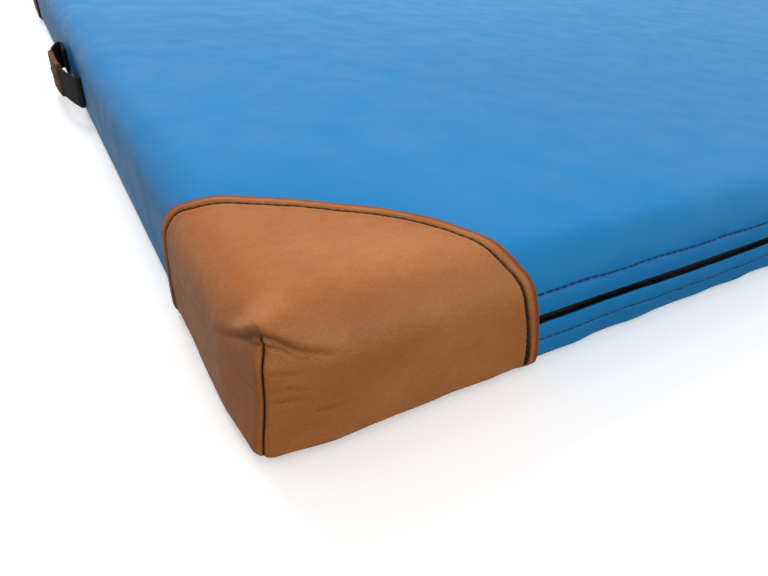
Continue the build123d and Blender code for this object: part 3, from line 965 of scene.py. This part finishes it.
def add_area(name, place, target, size, power):
    """A rectangular lamp at a place, in metres, aimed at a target."""
    data = bpy.data.lights.new(name, "AREA")
    data.shape, data.size, data.size_y = "RECTANGLE", size[0], size[1]
    data.energy = power
    light = bpy.data.objects.new(name, data)
    bpy.context.scene.collection.objects.link(light)
    light.location = place
    light.rotation_euler = (Vector(target) - Vector(place)).to_track_quat("-Z", "Y").to_euler()
    return light


def add_world():
    """Soft light from above that fades towards the ground, with a brighter horizon beyond the mat."""
    world = bpy.data.worlds.new("studio")
    bpy.context.scene.world = world
    world.use_nodes = True
    tree = world.node_tree
    direction = tree.nodes.new("ShaderNodeSeparateXYZ")
    tree.links.new(tree.nodes.new("ShaderNodeTexCoord").outputs["Generated"], direction.inputs[0])

    def ramp(axis, low, high, top):
        node = tree.nodes.new("ShaderNodeMapRange")
        node.interpolation_type = "SMOOTHSTEP"
        tree.links.new(direction.outputs[axis], node.inputs["Value"])
        for key, value in (("From Min", low), ("From Max", high), ("To Min", 0.0), ("To Max", top)):
            node.inputs[key].default_value = value
        return node.outputs[0]

    def combine(operation, first, second):
        node = tree.nodes.new("ShaderNodeMath")
        node.operation = operation
        for socket, value in zip(node.inputs, (first, second)):
            if isinstance(value, float):
                socket.default_value = value
            else:
                tree.links.new(value, socket)
        return node.outputs[0]

    above = ramp(2, -0.35, 0.45, SKY)
    beyond = combine("MULTIPLY", ramp(1, 0.2, 0.95, HORIZON), ramp(2, 0.4, -0.1, 1.0))
    total = combine("ADD", combine("ADD", above, beyond), GROUND)
    tree.links.new(total, tree.nodes["Background"].inputs[1])
    tree.nodes["Background"].inputs[0].default_value = (1, 1, 1, 1)


def add_studio():
    far = FLOOR_HALF
    corners = [(-far, -far, 0), (far, -far, 0), (far, far, 0), (-far, far, 0)]
    floor = new_mesh("floor", corners, [(0, 1, 2, 3)])
    m = Shader("floor", Roughness=0.9)
    m.link("Base Color", m.mix(m.noise(0.7), rgb(0.96, 0.96, 0.96), rgb(1, 1, 1)))
    m.bsdf.inputs["Emission Color"].default_value = rgb(1, 1, 1)
    m.bsdf.inputs["Emission Strength"].default_value = 0.25
    give(floor, m.material)
    floor.visible_diffuse = False
    floor.visible_glossy = False
    add_world()
    key = add_area("key", (-0.5, 2.3, 2.3), (-0.8, -0.4, 0.05), (2.2, 1.5), 125)
    key.visible_glossy = False
    add_area("front_fill", (-0.8, -2.6, 0.75), (-0.7, -0.5, 0.05), (2.4, 0.9), 22)
    bpy.context.scene.view_settings.view_transform = "Standard"


# ---------------------------------------------------------------- build

add_camera()
add_studio()

VINYL = vinyl_material()
TAN = leather_material()
WEBBING = webbing_material()
BROWN_THREAD = plain_material("thread_brown", (0.020, 0.008, 0.004), 0.7)
BLUE_THREAD = plain_material("thread_blue", (0.002, 0.022, 0.10), 0.6)
BLACK_THREAD = plain_material("thread_black", (0.012, 0.012, 0.013), 0.6)
TAPE = plain_material("zip_tape", (0.008, 0.008, 0.009), 0.8)
NYLON = plain_material("zip_nylon", (0.01, 0.01, 0.011), 0.4)
ENAMEL = plain_material("zip_enamel", (0.02, 0.02, 0.022), 0.35, scale=200.0, metallic=0.3)
GRIP_LEATHER = plain_material("grip_leather", (0.16, 0.055, 0.006), 0.7, scale=300.0, depth=0.0004)
BASE = base_material()

cover = give(cover_vinyl(), VINYL)
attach(cover, "mat")
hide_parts("cover_top", "foam_core")

strip = give(cover_strip(), VINYL)
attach(strip, "mat")
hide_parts("cover_front_strip")

# a dark sheet that stands in for the shade inside the mat behind the slot
guard = give(zip_guard(), TAPE)
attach(guard, "mat")

CORNERS = [("front_left", -1, -1), ("front_right", 1, -1), ("back_left", -1, 1), ("back_right", 1, 1)]
for seed, (where, sign_x, sign_y) in enumerate(CORNERS):
    corner, line, outward = leather_corner("leather_" + where, sign_x, sign_y, seed)
    give(corner, TAN)
    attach(corner, "mat")
    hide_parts("leather_corner_" + where)
    thread = stitches("stitching_" + where, [(line, outward)], *CORNER_STITCH, 50 + seed)
    give(thread, BROWN_THREAD)
    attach(thread, "mat")
    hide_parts("corner_thread_" + where)

seam_x = np.arange(-HALF_LENGTH + 150, HALF_LENGTH - 150, 2.0)
outward = np.tile([0.0, -1.0, 0.25], (len(seam_x), 1))
for key, surface, level in (("upper", upper_front, STITCH_UPPER), ("lower", lower_front, STITCH_LOWER)):
    line = surface(seam_x, level)
    thread = stitches("stitching_zip_" + key, [(line, outward)], *ZIP_STITCH, 60 + len(key))
    give(thread, BLUE_THREAD)
    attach(thread, "mat")
    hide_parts("zip_thread_" + key)

for where, side in (("left", -1), ("right", 1)):
    add_handle(where, side)

for node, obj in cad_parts.items():
    if obj.hide_render:
        continue
    if node.startswith("zip_tape"):
        give(obj, TAPE)
    elif node.startswith("zip_coil") or node.endswith("stop"):
        give(obj, NYLON)
    elif node in ("zip_slider", "zip_pull"):
        give(obj, ENAMEL)
    elif node.startswith("base_sheet"):
        give(obj, BASE)
    elif "thread" in node:
        give(obj, BLUE_THREAD if "zip" in node or "base" in node else BLACK_THREAD)
